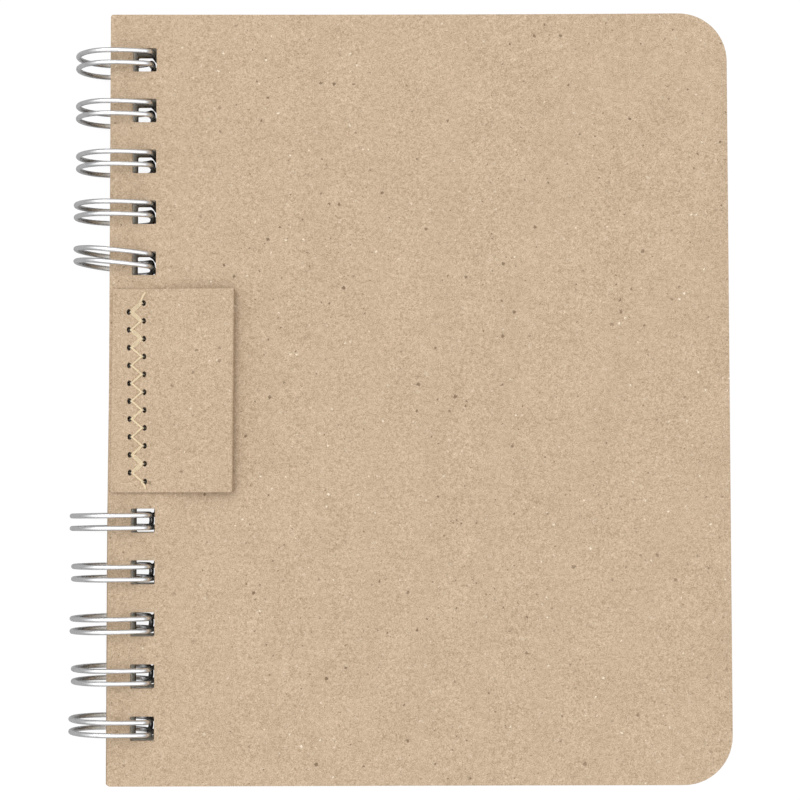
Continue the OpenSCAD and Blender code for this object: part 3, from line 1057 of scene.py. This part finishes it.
def make_camera():
    scene = bpy.context.scene
    v = scene.sketchbook_view
    camera = bpy.data.cameras.new("camera")
    camera.lens = v.lens
    camera.sensor_width = 36.0
    camera.clip_start, camera.clip_end = 0.01, 10.0
    holder = bpy.data.objects.new("camera", camera)
    a, e = math.radians(v.azimuth), math.radians(v.elevation)
    back = Vector((math.sin(a) * math.cos(e), -math.cos(a) * math.cos(e), math.sin(e)))
    aim = Vector((0.21, -0.60, 10.0)) * MM  # near the middle of the front cover
    right = (-back).cross(Vector((0, 1, 0))).normalized()
    up = right.cross(-back)
    turn = Matrix((right, up, back)).transposed().to_4x4() @ Matrix.Rotation(math.radians(v.roll), 4, "Z")
    holder.matrix_world = Matrix.Translation(aim + back * v.distance * MM) @ turn
    scene.collection.objects.link(holder)
    scene.camera = holder


def make_stage():
    make_table()
    make_softbox("key_softbox", (-0.42, 0.36, 1.15), size=0.90, power=4.6)
    make_softbox("fill_softbox", (0.55, -0.50, 1.20), size=1.0, power=2.0)
    make_world()
    make_camera()
    view = bpy.context.scene.view_settings
    view.view_transform = "Standard"
    view.look = "None"


# ---- Operators and panel ----


class SKETCHBOOK_OT_stage(bpy.types.Operator):
    """Lay the table, set the soft lights and place the camera"""

    bl_idname = "sketchbook.stage"
    bl_label = "Stage"

    def execute(self, context):
        make_stage()
        return {"FINISHED"}


class SKETCHBOOK_OT_covers(bpy.types.Operator):
    """Cut the front and back covers from kraft board"""

    bl_idname = "sketchbook.covers"
    bl_label = "Covers"

    def execute(self, context):
        make_front_cover()
        make_back_cover()
        return {"FINISHED"}


class SKETCHBOOK_OT_sheets(bpy.types.Operator):
    """Punch and stack the drawing sheets"""

    bl_idname = "sketchbook.sheets"
    bl_label = "Sheets"

    def execute(self, context):
        make_sheets()
        return {"FINISHED"}


class SKETCHBOOK_OT_wires(bpy.types.Operator):
    """Bend the two twin-loop binding wires"""

    bl_idname = "sketchbook.wires"
    bl_label = "Binding wires"

    def execute(self, context):
        make_wires()
        return {"FINISHED"}


class SKETCHBOOK_OT_pen_loop(bpy.types.Operator):
    """Fold the pen loop's strip"""

    bl_idname = "sketchbook.pen_loop"
    bl_label = "Pen loop"

    def execute(self, context):
        make_pen_loop()
        return {"FINISHED"}


class SKETCHBOOK_OT_seam(bpy.types.Operator):
    """Sew the pen loop on with a zigzag of two threads"""

    bl_idname = "sketchbook.seam"
    bl_label = "Zigzag seam"

    def execute(self, context):
        make_seam()
        return {"FINISHED"}


OPERATORS = (
    SKETCHBOOK_OT_stage,
    SKETCHBOOK_OT_covers,
    SKETCHBOOK_OT_sheets,
    SKETCHBOOK_OT_wires,
    SKETCHBOOK_OT_pen_loop,
    SKETCHBOOK_OT_seam,
)


class SKETCHBOOK_PT_panel(bpy.types.Panel):
    """Lists the sketchbook's making steps"""

    bl_idname = "SKETCHBOOK_PT_panel"
    bl_label = "Sketchbook"
    bl_space_type = "VIEW_3D"
    bl_region_type = "UI"
    bl_category = "Sketchbook"

    def draw(self, context):
        for operator in OPERATORS:
            self.layout.operator(operator.bl_idname)
        for group in (context.scene.sketchbook_sizes, context.scene.sketchbook_colours,
                      context.scene.sketchbook_view):
            for name in group.bl_rna.properties.keys():
                if name not in ("rna_type", "name"):
                    self.layout.prop(group, name)


GROUPS = {
    "sketchbook_sizes": SketchbookSizes,
    "sketchbook_colours": SketchbookColours,
    "sketchbook_view": SketchbookView,
}


def register():
    for made in (*GROUPS.values(), *OPERATORS, SKETCHBOOK_PT_panel):
        bpy.utils.register_class(made)
    for name, group in GROUPS.items():
        setattr(bpy.types.Scene, name, PointerProperty(type=group))


def unregister():
    for name in GROUPS:
        delattr(bpy.types.Scene, name)
    for made in (SKETCHBOOK_PT_panel, *reversed(OPERATORS), *GROUPS.values()):
        bpy.utils.unregister_class(made)


def main():
    register()
    for operator in OPERATORS:
        family, step = operator.bl_idname.split(".")
        getattr(getattr(bpy.ops, family), step)()


if __name__ == "__main__":
    main()
